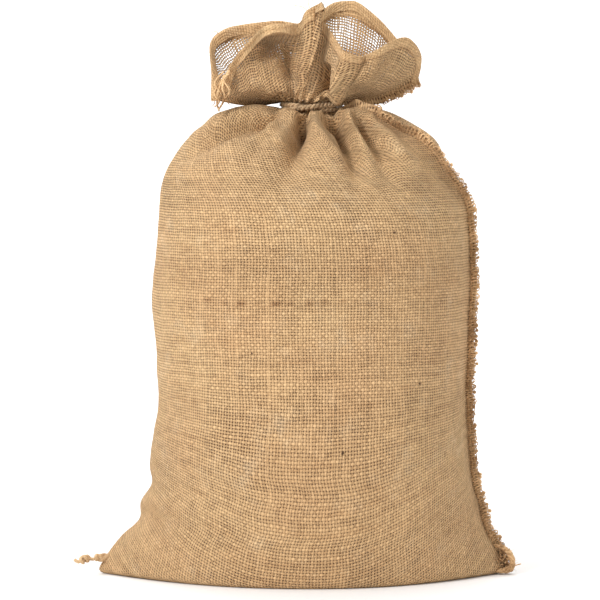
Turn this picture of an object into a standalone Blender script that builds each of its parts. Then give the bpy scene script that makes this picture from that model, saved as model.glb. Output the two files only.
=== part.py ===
"""A filled burlap sack that stands on its base, with its neck gathered and tied with jute twine.

Units are metres and +Z is up. The origin is on the floor under the middle of the sack, and the front
faces -Y. The cloth is a grid of columns that run up the sack and rings that run round it. Column 0 is
the sewn side seam at +X, and the column half way round is the folded edge at -X.
"""

import math

import bmesh
import bpy
import numpy as np
from mathutils import Vector

COLUMNS = 80
BODY_RINGS = 33
RUFFLE_RINGS = 11
CUP_RING = 3  # the ring of the ruffle where its hollow stops and the gathered neck is solid

CORNER_REACH = 0.188  # from the middle to the outermost corner, on either side
SHEET = 0.0024
GAP = 0.0003
SQUARENESS = 0.09  # how far the round sections fill out toward a box

TIE_X = 0.002
TIE_HEIGHT = 0.4158
NECK_RADIUS = 0.0212
PLEATS = 13
PLEAT_DEPTH = 0.0016
RUFFLE_FOOT = (0.0070, 0.0245)  # rise over the tie and radius, where the ruffle starts

TWINE = 0.0046
TIE_POINTS = 60
CROSSING_ANGLE = 262  # degrees round from +X
CROSSING_SWING = 3.2  # how quickly the two turns change places
CROSSING_SPREAD = 0.24  # how far to each side the upper turn is lifted
TIE_SLACK = 0.0004
KNOT_HALF_SIZE = (0.0060, 0.0040, 0.0050)
KNOT_SLACK = 0.0004

SEAM_THICKNESS = 0.0018
SEAM_GAP = 0.0005
SEAM_WIDTH = 0.0085
SEAM_CLEARANCE = 0.0010  # the frayed edge's height over the floor
SEAM_FLARE = 0.05  # the height over which the edge widens toward the floor
SEAM_TOP = 3  # rings of plain cloth between the edge's top and the neck
MOUTH_SEAM_WIDTH = 0.0065
MOUTH_SEAM_START = 4  # the ring of the ruffle where its frayed edge starts
TEETH_PER_RING = 3

# The body's sections, from the floor to the shoulder. The corner value pinches a section's two ends,
# and the turn, in degrees, carries the side seam round to the front.
# height, left, right, front, back, corner, turn
BODY = (
    (0.0000, 0.1840, 0.1710, 0.0980, 0.0980, 1.30, 0),
    (0.0040, 0.1880, 0.1740, 0.1010, 0.1010, 1.20, 0),
    (0.0180, 0.1800, 0.1660, 0.1040, 0.1040, 1.00, 0),
    (0.0340, 0.1680, 0.1560, 0.1054, 0.1054, 0.75, 0),
    (0.0490, 0.1520, 0.1515, 0.1060, 0.1060, 0.55, 0),
    (0.0640, 0.1500, 0.1490, 0.1060, 0.1060, 0.42, 0),
    (0.0800, 0.1405, 0.1460, 0.1060, 0.1060, 0.30, 0),
    (0.0980, 0.1425, 0.1430, 0.1060, 0.1060, 0.22, 0),
    (0.1250, 0.1385, 0.1405, 0.1056, 0.1056, 0.14, 0),
    (0.1510, 0.1345, 0.1400, 0.1050, 0.1050, 0.10, 0),
    (0.1960, 0.1360, 0.1410, 0.1035, 0.1030, 0.06, 0),
    (0.2400, 0.1395, 0.1425, 0.1020, 0.1005, 0.04, 0),
    (0.2850, 0.1370, 0.1415, 0.0990, 0.0960, 0.02, 0),
    (0.3200, 0.1335, 0.1395, 0.0945, 0.0905, 0.00, 0),
    (0.3420, 0.1315, 0.1315, 0.0880, 0.0840, 0.00, -3),
    (0.3580, 0.1275, 0.1225, 0.0810, 0.0770, 0.00, -14),
    (0.3740, 0.1190, 0.1180, 0.0720, 0.0690, 0.00, -26),
    (0.3875, 0.1090, 0.1090, 0.0630, 0.0600, 0.00, -36),
    (0.3980, 0.0980, 0.0940, 0.0530, 0.0520, 0.00, -44),
    (0.4052, 0.0840, 0.0760, 0.0440, 0.0440, 0.00, -46),
    (0.4088, 0.0660, 0.0570, 0.0370, 0.0360, 0.00, -44),
    (0.4100, 0.0460, 0.0410, 0.0310, 0.0310, 0.00, -40),
    (0.4104, 0.0300, 0.0280, 0.0255, 0.0255, 0.00, -36),
)

# The neck under the twine: height over the tie, radius
NECK = (
    (-0.0047, 0.0222),
    (-0.0020, NECK_RADIUS),
    (0.0020, NECK_RADIUS),
    (0.0047, 0.0226),
)

# The mouth's edge, from the side seam round the back to the folded edge, then along the front.
# Angle from +X in degrees, reach from the neck's axis, rise over the tie, belly of the cloth under it
BACK_RIM = (
    (0, 0.0950, 0.025, 0.2),
    (12, 0.0860, 0.050, 0.6),
    (25, 0.0720, 0.074, 0.7),
    (34, 0.0600, 0.088, 0.7),
    (43, 0.0560, 0.094, 0.7),
    (52, 0.0540, 0.095, 0.6),
    (62, 0.0410, 0.093, 0.5),
    (75, 0.0270, 0.084, 0.4),
    (92, 0.0350, 0.078, 0.5),
    (107, 0.0290, 0.074, 0.5),
    (120, 0.0420, 0.076, 0.6),
    (134, 0.0460, 0.077, 0.6),
    (148, 0.0700, 0.074, 0.7),
    (161, 0.0830, 0.069, 0.7),
    (170, 0.0920, 0.056, 0.6),
    (177, 0.0890, 0.028, 0.4),
    (183, 0.0890, 0.0065, 0.1),
)
FRONT_RIM = (
    (183, 0.0890, 0.0065, 0.1),
    (196, 0.0790, 0.030, 0.4),
    (210, 0.0680, 0.052, 0.7),
    (222, 0.0560, 0.070, 0.8),
    (238, 0.0410, 0.080, 0.7),
    (254, 0.0310, 0.087, 0.5),
    (278, 0.0220, 0.092, 0.2),
    (304, 0.0240, 0.072, 0.3),
    (307, 0.0440, 0.052, 0.7),
    (313, 0.0610, 0.044, 0.9),
    (323, 0.0710, 0.050, 0.9),
    (334, 0.0800, 0.059, 0.7),
    (343, 0.0900, 0.060, 0.6),
    (352, 0.0980, 0.045, 0.5),
    (360, 0.0950, 0.025, 0.2),
)

# Folds that the gathering leaves, as ridges (+) and troughs (-) of the cloth's surface.
# side, path in the front view (x, height), width at the top, width at the end, height
FOLDS = (
    ("front", ((0.008, 0.400), (0.016, 0.372), (0.028, 0.329)), 0.008, 0.020, 0.007),
    ("front", ((-0.003, 0.401), (-0.010, 0.384), (-0.020, 0.356)), 0.006, 0.011, -0.012),
    ("front", ((-0.019, 0.402), (-0.050, 0.372), (-0.080, 0.330)), 0.012, 0.034, 0.005),
    ("front", ((-0.048, 0.394), (-0.066, 0.382)), 0.006, 0.007, -0.004),
    ("front", ((-0.033, 0.403), (-0.078, 0.391), (-0.104, 0.374), (-0.120, 0.356)), 0.007, 0.008, -0.007),
    ("front", ((0.018, 0.399), (0.027, 0.391), (0.034, 0.372), (0.040, 0.360)), 0.006, 0.009, -0.012),
    ("front", ((0.034, 0.398), (0.047, 0.387), (0.062, 0.362)), 0.007, 0.010, 0.006),
    ("front", ((0.044, 0.395), (0.055, 0.385), (0.062, 0.372), (0.070, 0.360)), 0.006, 0.009, -0.010),
    ("front", ((0.040, 0.402), (0.059, 0.389), (0.074, 0.376), (0.087, 0.352)), 0.006, 0.011, 0.007),
    ("back", ((0.006, 0.400), (0.012, 0.360)), 0.007, 0.016, -0.010),
    ("back", ((-0.030, 0.402), (-0.062, 0.366)), 0.007, 0.014, -0.009),
    ("back", ((0.036, 0.400), (0.066, 0.362)), 0.007, 0.014, -0.008),
    ("back", ((-0.012, 0.400), (-0.024, 0.350)), 0.008, 0.020, 0.006),
    ("back", ((0.022, 0.400), (0.040, 0.350)), 0.008, 0.020, 0.006),
    ("front", ((-0.062, 0.452), (-0.034, 0.458), (-0.014, 0.448)), 0.012, 0.012, -0.010),
    ("front", ((-0.066, 0.430), (-0.040, 0.434), (-0.016, 0.428)), 0.009, 0.009, 0.007),
    ("front", ((0.008, 0.424), (0.006, 0.450), (0.008, 0.495)), 0.006, 0.009, 0.004),
    ("front", ((0.014, 0.426), (0.014, 0.442)), 0.005, 0.006, -0.007),
    ("front", ((0.022, 0.426), (0.030, 0.452)), 0.006, 0.009, 0.006),
    ("front", ((0.042, 0.428), (0.060, 0.440)), 0.006, 0.009, -0.005),
)

# The knotted thread at the left corner: x, y, height, share of the thread's own thickness
TAIL_DIAMETER = 0.0034
TAIL = (
    (-0.1862, -0.0020, 0.0135, 1.0),
    (-0.1895, -0.0026, 0.0142, 1.9),
    (-0.1925, -0.0034, 0.0146, 2.3),
    (-0.1955, -0.0042, 0.0140, 1.8),
    (-0.1985, -0.0048, 0.0134, 1.0),
    (-0.2020, -0.0054, 0.0136, 1.0),
    (-0.2050, -0.0060, 0.0146, 1.6),
    (-0.2078, -0.0068, 0.0152, 2.1),
    (-0.2106, -0.0076, 0.0148, 1.5),
    (-0.2135, -0.0082, 0.0140, 0.9),
    (-0.2165, -0.0086, 0.0146, 0.8),
)


def smooth(rows, at):
    """The rows of a table read between one another as one smooth curve, at fractional row numbers."""
    table = np.array(rows, dtype=float)
    low = np.clip(np.floor(at).astype(int), 0, len(table) - 2)
    part = (at - low)[:, None]
    before = table[np.maximum(low - 1, 0)]
    here = table[low]
    after = table[low + 1]
    beyond = table[np.minimum(low + 2, len(table) - 1)]
    pull = 0.5 * (after - before)
    push = 0.5 * (beyond - here)
    return (
        (2 * part**3 - 3 * part**2 + 1) * here
        + (part**3 - 2 * part**2 + part) * pull
        + (3 * part**2 - 2 * part**3) * after
        + (part**3 - part**2) * push
    )


def evenly(curve, count):
    """The curve's points moved so that count equal steps of its length part them.

    The first three values of a point are its place, and the others are carried along.
    """
    steps = np.linalg.norm(np.diff(curve[:, :3], axis=0), axis=1)
    along = np.concatenate(([0.0], np.cumsum(steps)))
    places = np.linspace(0.0, along[-1], count + 1)
    return np.stack([np.interp(places, along, curve[:, i]) for i in range(curve.shape[1])], axis=1)


def section(height, left, right, front, back, corner, turn):
    """One ring of the body, from its seam round the back to the folded edge and along the front."""
    halves = []
    for start in (0.0, math.pi):
        angle = np.linspace(start, start + math.pi, 241) + math.radians(turn)
        across, deep = np.cos(angle), np.sin(angle)
        x = np.where(across > 0, right, left) * np.sign(across) * np.abs(across) ** (1 - SQUARENESS)
        y = np.where(deep > 0, back, front) * np.sign(deep) * np.abs(deep) ** (1 - SQUARENESS + corner)
        half = evenly(np.stack([x, y, np.full_like(x, height)], axis=1), COLUMNS // 2)
        halves.append(half[:-1])
    return np.concatenate(halves)


def body_rings():
    """The sections from the floor to the neck, a near even length of cloth apart."""
    fine = smooth(BODY, np.linspace(0, len(BODY) - 1, 401))
    profile = evenly(np.column_stack([fine[:, 1], fine[:, 3], fine[:, 0], fine]), BODY_RINGS)
    rings = [section(*row) for row in profile[:, 3:]]
    ease = np.linspace(0, 1, len(rings)) ** 6
    return [ring + np.array([TIE_X * part, 0, 0]) for ring, part in zip(rings, ease)]


def neck_ring(rise, radius):
    turn = math.radians(BODY[-1][-1] * (1 - max(rise, 0) / 0.012))
    angle = np.linspace(0, 2 * math.pi, COLUMNS, endpoint=False) + turn
    ripple = radius + PLEAT_DEPTH * np.cos(PLEATS * angle + 1.3 * np.sin(2 * angle))
    height = np.full(COLUMNS, TIE_HEIGHT + rise)
    return np.stack([TIE_X + ripple * np.cos(angle), ripple * np.sin(angle), height], axis=1)


def rim():
    """The mouth's edge and the belly of the cloth below it, one row for each column."""
    halves = []
    for rows in (BACK_RIM, FRONT_RIM):
        fine = smooth(rows, np.linspace(0, len(rows) - 1, 601))
        angle = np.radians(fine[:, 0])
        x = TIE_X + fine[:, 1] * np.cos(angle)
        y = fine[:, 1] * np.sin(angle)
        edge = np.column_stack([x, y, TIE_HEIGHT + fine[:, 2], fine[:, 3]])
        halves.append(evenly(edge, COLUMNS // 2)[:-1])
    edge = np.concatenate(halves)
    return edge[:, :3], edge[:, 3:]


def bezier(start, first, second, end, part):
    rest = 1 - part
    return rest**3 * start + 3 * rest**2 * part * first + 3 * rest * part**2 * second + part**3 * end


def ruffle_rings():
    """The cloth over the tie: each column runs from the neck out and up to the mouth's edge."""
    foot = neck_ring(*RUFFLE_FOOT)
    edge, belly = rim()
    out = (edge - foot) * np.array([1, 1, 0])
    up = (edge - foot) * np.array([0, 0, 1])
    first = foot + out * (0.33 + 0.35 * belly) + up * 0.33 * (1 - belly)
    second = edge - out * 0.33 * (1 - belly) - up * (0.33 + 0.2 * belly)
    return [bezier(foot, first, second, edge, part) for part in np.linspace(0, 1, RUFFLE_RINGS)]


def normals(grid):
    """Outward directions of a grid of rings, closed round the sack."""
    around = np.roll(grid, -1, axis=1) - np.roll(grid, 1, axis=1)
    up = np.gradient(grid, axis=0)
    direction = np.cross(around, up)
    return direction / np.maximum(np.linalg.norm(direction, axis=2, keepdims=True), 1e-12)


def fold_lift(grid):
    """How far each point of the grid is pushed out by the folds."""
    lift = np.zeros(grid.shape[:2])
    view = grid[:, :, [0, 2]]
    for side, path, wide_top, wide_end, height in FOLDS:
        facing = grid[:, :, 1] * (-1 if side == "front" else 1)
        seen = np.clip(facing / 0.02, 0, 1)
        nearest = np.full(lift.shape, np.inf)
        share = np.zeros(lift.shape)
        for number in range(len(path) - 1):
            start, end = np.array(path[number]), np.array(path[number + 1])
            run = end - start
            part = np.clip(((view - start) @ run) / (run @ run), 0, 1)
            away = np.linalg.norm(view - start - part[:, :, None] * run, axis=2)
            closer = away < nearest
            nearest = np.where(closer, away, nearest)
            share = np.where(closer, (number + part) / (len(path) - 1), share)
        width = wide_top + (wide_end - wide_top) * share
        lift += height * seen * np.exp(-((nearest / width) ** 2))
    from_axis = np.hypot(grid[:, :, 0], grid[:, :, 1])
    from_tie = np.abs(grid[:, :, 2] - TIE_HEIGHT) + np.maximum(from_axis - 0.024, 0)
    return lift * np.clip((from_tie - 0.006) / 0.02, 0, 1)


def cloth_grid():
    """The sack's outer surface, and the number of its ring where the ruffle starts."""
    lower = body_rings() + [neck_ring(*row) for row in NECK]
    grid = np.array(lower + ruffle_rings())
    return grid + normals(grid) * fold_lift(grid)[:, :, None], len(lower)


def material(name, colour, roughness):
    made = bpy.data.materials.new(name)
    made.use_nodes = True
    shader = made.node_tree.nodes["Principled BSDF"]
    shader.inputs["Base Color"].default_value = (*colour, 1)
    shader.inputs["Roughness"].default_value = roughness
    shader.inputs["Metallic"].default_value = 0.0
    return made


def add_mesh(name, rings, ends, look, collection, smooth_shading=True):
    """A closed body from rings of points. Each end is a centre point for a fan, or None for a flat cap."""
    mesh = bmesh.new()
    loops = [[mesh.verts.new(point) for point in ring] for ring in rings]
    for below, above in zip(loops, loops[1:]):
        for i in range(len(below)):
            j = (i + 1) % len(below)
            mesh.faces.new((below[i], below[j], above[j], above[i]))
    for loop, end, order in ((loops[0], ends[0], -1), (loops[-1], ends[1], 1)):
        if end is None:
            mesh.faces.new(loop[::order])
            continue
        middle = mesh.verts.new(end)
        for i in range(len(loop)):
            pair = (loop[i], loop[(i + 1) % len(loop)])
            mesh.faces.new((*pair[::order], middle))
    bmesh.ops.triangulate(mesh, faces=mesh.faces[:])
    bmesh.ops.recalc_face_normals(mesh, faces=mesh.faces[:])
    data = bpy.data.meshes.new(name)
    mesh.to_mesh(data)
    mesh.free()
    data.polygons.foreach_set("use_smooth", [smooth_shading] * len(data.polygons))
    data.materials.append(look)
    made = bpy.data.objects.new(name, data)
    collection.objects.link(made)
    return made


def build_sack(grid, start, look, collection):
    """The whole sewn and filled bag: base, body, gathered neck, ruffle, and the ruffle's inside."""
    base = [grid[0] * np.array([part, part, 0]) for part in (0.35, 0.7)]
    inward = grid - normals(grid) * SHEET
    inside = list(inward[start + CUP_RING:][::-1])
    floor = inside[-1].mean(axis=0)
    rings = base + list(grid) + inside
    return add_mesh("sack", rings, ((0, 0, 0), floor), look, collection)


def build_seam_edge(name, spine, outward, across, widths, look, collection):
    """A frayed strip that stands off the cloth along a seam, its outer edge cut into uneven teeth."""
    count = (len(spine) - 1) * TEETH_PER_RING + 1
    at = np.linspace(0, len(spine) - 1, count)

    def between(rows):
        return np.stack([np.interp(at, np.arange(len(rows)), rows[:, i]) for i in range(3)], axis=1)

    points, out, side = between(spine), between(outward), between(across)
    reach = np.interp(at, np.arange(len(widths)), widths)
    tooth = np.where(np.arange(count) % 2 == 0, 1.0, 0.74 + 0.12 * np.sin(2.3 * np.arange(count)))
    inner = points + out * SEAM_GAP
    outer = points + out * (reach * tooth)[:, None]
    half = side * SEAM_THICKNESS / 2
    rings = np.stack([inner - half, outer - half, outer + half, inner + half], axis=1)
    rings[:, :, 2] = np.maximum(rings[:, :, 2], SEAM_CLEARANCE)
    return add_mesh(name, list(rings), (None, None), look, collection, smooth_shading=False)


def unit(rows):
    return rows / np.linalg.norm(rows, axis=1, keepdims=True)


def side_seam(grid, start, look, collection):
    """The sewn side's frayed edge: on the body from the shoulder to the corner, and on the ruffle."""
    spine = grid[:, 0]
    out = normals(grid)[:, 0]
    across = unit(np.cross(out, np.gradient(spine, axis=0)))
    body = slice(1, start - len(NECK) - SEAM_TOP)
    rows = spine[body]
    corner = (CORNER_REACH - rows[0, 0]) / out[1, 0]
    flare = np.clip(1 - (rows[:, 2] - rows[0, 2]) / SEAM_FLARE, 0, 1)
    widths = SEAM_WIDTH + (corner - SEAM_WIDTH) * flare
    build_seam_edge("seam_edge", rows, out[body], across[body], widths, look, collection)
    mouth = slice(start + MOUTH_SEAM_START, start + RUFFLE_RINGS)
    widths = np.full(RUFFLE_RINGS - MOUTH_SEAM_START, MOUTH_SEAM_WIDTH)
    build_seam_edge("mouth_seam_edge", spine[mouth], out[mouth], across[mouth], widths, look, collection)


def add_tube(name, points, radii, closed, look, collection, sides):
    """A round tube through points, with its own thickness at each of them."""
    curve = bpy.data.curves.new(name, "CURVE")
    curve.dimensions = "3D"
    curve.bevel_depth = 1.0
    curve.bevel_resolution = sides
    curve.use_fill_caps = not closed
    line = curve.splines.new("POLY")
    line.points.add(len(points) - 1)
    for spot, point, radius in zip(line.points, points, radii):
        spot.co = (*point, 1)
        spot.radius = radius
    line.use_cyclic_u = closed
    curve.materials.append(look)
    made = bpy.data.objects.new(name, curve)
    collection.objects.link(made)
    return made


def build_tie(look, collection):
    """Two turns of twine round the neck that cross once in front, and the knot behind it."""
    angle = np.linspace(0, 4 * math.pi, TIE_POINTS, endpoint=False)
    crossing = math.radians(CROSSING_ANGLE)
    half_turn = angle / 2 - crossing / 2
    from_cross = (half_turn + math.pi / 2) % math.pi - math.pi / 2
    swing = np.tanh(np.sin(half_turn) * CROSSING_SWING) / math.tanh(CROSSING_SWING)
    height = TIE_HEIGHT + 0.5 * (TWINE + GAP) * swing
    over = np.exp(-((from_cross / CROSSING_SPREAD) ** 2)) * (np.cos(half_turn) > 0)
    radius = NECK_RADIUS + PLEAT_DEPTH + GAP + TWINE / 2 + TIE_SLACK + over * (TWINE + GAP)
    points = np.stack([TIE_X + radius * np.cos(angle), radius * np.sin(angle), height], axis=1)
    add_tube("neck_tie", points, [TWINE / 2] * TIE_POINTS, True, look, collection, 2)


def build_knot(look, collection):
    """The twine's small round knot, pulled tight against the back of the neck."""
    mesh = bmesh.new()
    bmesh.ops.create_uvsphere(mesh, u_segments=16, v_segments=10, radius=1.0)
    bmesh.ops.scale(mesh, vec=KNOT_HALF_SIZE, verts=mesh.verts)
    data = bpy.data.meshes.new("tie_knot")
    mesh.to_mesh(data)
    mesh.free()
    data.shade_smooth()
    data.materials.append(look)
    made = bpy.data.objects.new("tie_knot", data)
    outside = NECK_RADIUS + PLEAT_DEPTH + 2 * GAP + TWINE + KNOT_HALF_SIZE[1] + KNOT_SLACK
    made.location = (TIE_X, outside, TIE_HEIGHT)
    collection.objects.link(made)


def build_tail(look, collection):
    """The side seam thread's knotted end, which stands out from the left corner."""
    fine = smooth(TAIL, np.linspace(0, len(TAIL) - 1, 31))
    radii = fine[:, 3] * TAIL_DIAMETER / 2
    add_tube("corner_tail", fine[:, :3], radii, False, look, collection, 2)


def stand_on_origin(parts):
    """Moves every part so that the origin lies under the middle of the sack, without the loose thread."""
    bpy.context.view_layer.update()
    held = [part for part in parts if part.name != "corner_tail"]
    corners = np.array([part.matrix_world @ Vector(spot) for part in held for spot in part.bound_box])
    middle = (corners.min(axis=0) + corners.max(axis=0)) / 2
    for part in parts:
        part.location.x -= middle[0]
        part.location.y -= middle[1]


def main():
    for old in list(bpy.data.objects):
        bpy.data.objects.remove(old, do_unlink=True)
    collection = bpy.data.collections.new("burlap_sack")
    bpy.context.scene.collection.children.link(collection)
    burlap = material("burlap", (0.58, 0.39, 0.21), 0.92)
    frayed = material("frayed_jute", (0.50, 0.31, 0.15), 0.95)
    twine = material("jute_twine", (0.47, 0.31, 0.17), 0.9)
    thread = material("seam_thread", (0.62, 0.41, 0.23), 0.92)
    grid, start = cloth_grid()
    build_sack(grid, start, burlap, collection)
    side_seam(grid, start, frayed, collection)
    build_tie(twine, collection)
    build_knot(twine, collection)
    build_tail(thread, collection)
    stand_on_origin(collection.objects)


main()
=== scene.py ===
"""The looks of a filled burlap sack: woven cloth, frayed side seam, tied neck and open ruffled mouth.

Units are metres and +Z is up. The cloth is a grid: its rows run round the sack from the sewn side
seam at +X, along the back to the folded edge at -X, and along the front to the seam again. The
cloth's own flat sizes, in metres, are its UV map, so the weave follows the grain of the panel.
"""

import math
import random

import bmesh
import bpy
import numpy as np
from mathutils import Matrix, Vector, noise


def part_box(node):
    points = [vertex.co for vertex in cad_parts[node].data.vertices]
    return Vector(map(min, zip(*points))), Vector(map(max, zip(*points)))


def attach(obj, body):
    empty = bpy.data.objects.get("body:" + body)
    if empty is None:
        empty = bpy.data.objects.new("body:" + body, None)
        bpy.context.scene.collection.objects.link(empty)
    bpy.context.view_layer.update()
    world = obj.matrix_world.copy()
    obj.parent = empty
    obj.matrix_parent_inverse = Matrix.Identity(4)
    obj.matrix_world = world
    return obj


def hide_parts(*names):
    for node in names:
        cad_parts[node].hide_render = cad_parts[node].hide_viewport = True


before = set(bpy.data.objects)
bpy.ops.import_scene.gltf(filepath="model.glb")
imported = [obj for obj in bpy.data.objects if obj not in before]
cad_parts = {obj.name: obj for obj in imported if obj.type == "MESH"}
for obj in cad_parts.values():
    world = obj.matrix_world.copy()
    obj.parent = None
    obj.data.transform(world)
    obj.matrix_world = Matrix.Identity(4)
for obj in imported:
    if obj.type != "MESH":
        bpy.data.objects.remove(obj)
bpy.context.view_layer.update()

# ---------------------------------------------------------------- sizes

COLUMNS = 320  # of the cloth, round the sack
BODY_ROWS = 168
RUFFLE_ROWS = 64
FLAT_ROUND = 0.80  # the flat panel, folded once to make the sack
WARP_PITCH = 0.00268
WEFT_PITCH = 0.00250

SQUARENESS = 0.09
TIE_X = 0.002
TIE_HEIGHT = 0.4158
NECK_RADIUS = 0.0212
TWINE = 0.0046

PLEATS = 27  # small gathers round the neck
PLEAT_DEPTH = 0.0028
PLEAT_REACH = 0.030  # the cloth along which the gathers fade out, over and under the tie
SADDLE = 0.0055  # how much higher the shoulders rise at the neck's sides than in front of it
HEM = 0.010
HEM_ROWS = 7
FLANGE = 0.0058  # the side seam's allowance, outside its stitches
SEAM_PULL = 0.0034  # how far the stitches draw the cloth's edge out of its round
FLANGE_COLUMNS = 3

STAGE_SIDES = 64
STAGE_FLAT = 4.4  # radius at which the floor starts to curve up
STAGE_BEND = 1.2

# height, left, right, front, back, corner, turn
BODY = (
    (0.0000, 0.1840, 0.1705, 0.0980, 0.0980, 1.30, 0),
    (0.0040, 0.1880, 0.1740, 0.1010, 0.1010, 1.20, 0),
    (0.0180, 0.1800, 0.1680, 0.1040, 0.1040, 1.00, 0),
    (0.0340, 0.1680, 0.1590, 0.1054, 0.1054, 0.75, 0),
    (0.0490, 0.1520, 0.1535, 0.1060, 0.1060, 0.55, 0),
    (0.0640, 0.1500, 0.1505, 0.1060, 0.1060, 0.42, 0),
    (0.0800, 0.1405, 0.1455, 0.1060, 0.1060, 0.30, 0),
    (0.0980, 0.1425, 0.1410, 0.1060, 0.1060, 0.22, 0),
    (0.1250, 0.1385, 0.1385, 0.1056, 0.1056, 0.14, 0),
    (0.1510, 0.1345, 0.1370, 0.1050, 0.1050, 0.10, 0),
    (0.1960, 0.1360, 0.1370, 0.1035, 0.1030, 0.06, 0),
    (0.2400, 0.1395, 0.1390, 0.1020, 0.1005, 0.04, 0),
    (0.2850, 0.1370, 0.1393, 0.0990, 0.0960, 0.02, -0.5),
    (0.3200, 0.1335, 0.1370, 0.0945, 0.0905, 0.00, -3),
    (0.3420, 0.1315, 0.1290, 0.0880, 0.0840, 0.00, -8),
    (0.3580, 0.1275, 0.1212, 0.0810, 0.0770, 0.00, -16),
    (0.3740, 0.1190, 0.1188, 0.0720, 0.0690, 0.00, -26),
    (0.3875, 0.1090, 0.1114, 0.0630, 0.0600, 0.00, -36),
    (0.3980, 0.0980, 0.0965, 0.0530, 0.0520, 0.00, -44),
    (0.4066, 0.0840, 0.0760, 0.0440, 0.0440, 0.00, -46),
    (0.4112, 0.0660, 0.0570, 0.0370, 0.0360, 0.00, -44),
    (0.4126, 0.0460, 0.0410, 0.0310, 0.0310, 0.00, -40),
    (0.4104, 0.0300, 0.0280, 0.0255, 0.0255, 0.00, -36),
)

# The neck under the twine: height over the tie, radius
NECK = (
    (-0.0047, 0.0222),
    (-0.0034, 0.0216),
    (-0.0020, NECK_RADIUS),
    (0.0000, NECK_RADIUS),
    (0.0020, NECK_RADIUS),
    (0.0034, 0.0217),
    (0.0047, 0.0226),
)

# angle, reach, rise, belly
BACK_RIM = (
    (0, 0.0950, 0.025, 0.2),
    (12, 0.0860, 0.050, 0.6),
    (25, 0.0720, 0.074, 0.7),
    (34, 0.0600, 0.088, 0.7),
    (43, 0.0560, 0.094, 0.7),
    (52, 0.0540, 0.095, 0.6),
    (62, 0.0410, 0.093, 0.5),
    (75, 0.0270, 0.084, 0.4),
    (92, 0.0350, 0.078, 0.5),
    (107, 0.0290, 0.074, 0.5),
    (120, 0.0420, 0.076, 0.6),
    (134, 0.0460, 0.077, 0.6),
    (148, 0.0700, 0.074, 0.7),
    (161, 0.0830, 0.069, 0.7),
    (170, 0.0920, 0.056, 0.6),
    (177, 0.0890, 0.028, 0.4),
    (183, 0.0890, 0.0065, 0.1),
)
FRONT_RIM = (
    (183, 0.0890, 0.0065, 0.1),
    (196, 0.0790, 0.030, 0.4),
    (210, 0.0680, 0.052, 0.7),
    (222, 0.0560, 0.070, 0.8),
    (236, 0.0420, 0.0735, 0.7),
    (250, 0.0330, 0.0735, 0.6),
    (259, 0.0300, 0.0850, 0.4),
    (278, 0.0220, 0.0920, 0.2),
    (296, 0.0260, 0.075, 0.3),
    (305, 0.0430, 0.055, 0.7),
    (313, 0.0610, 0.044, 0.9),
    (323, 0.0710, 0.050, 0.9),
    (334, 0.0800, 0.059, 0.7),
    (343, 0.0900, 0.060, 0.6),
    (352, 0.0980, 0.045, 0.5),
    (360, 0.0950, 0.025, 0.2),
)

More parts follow.
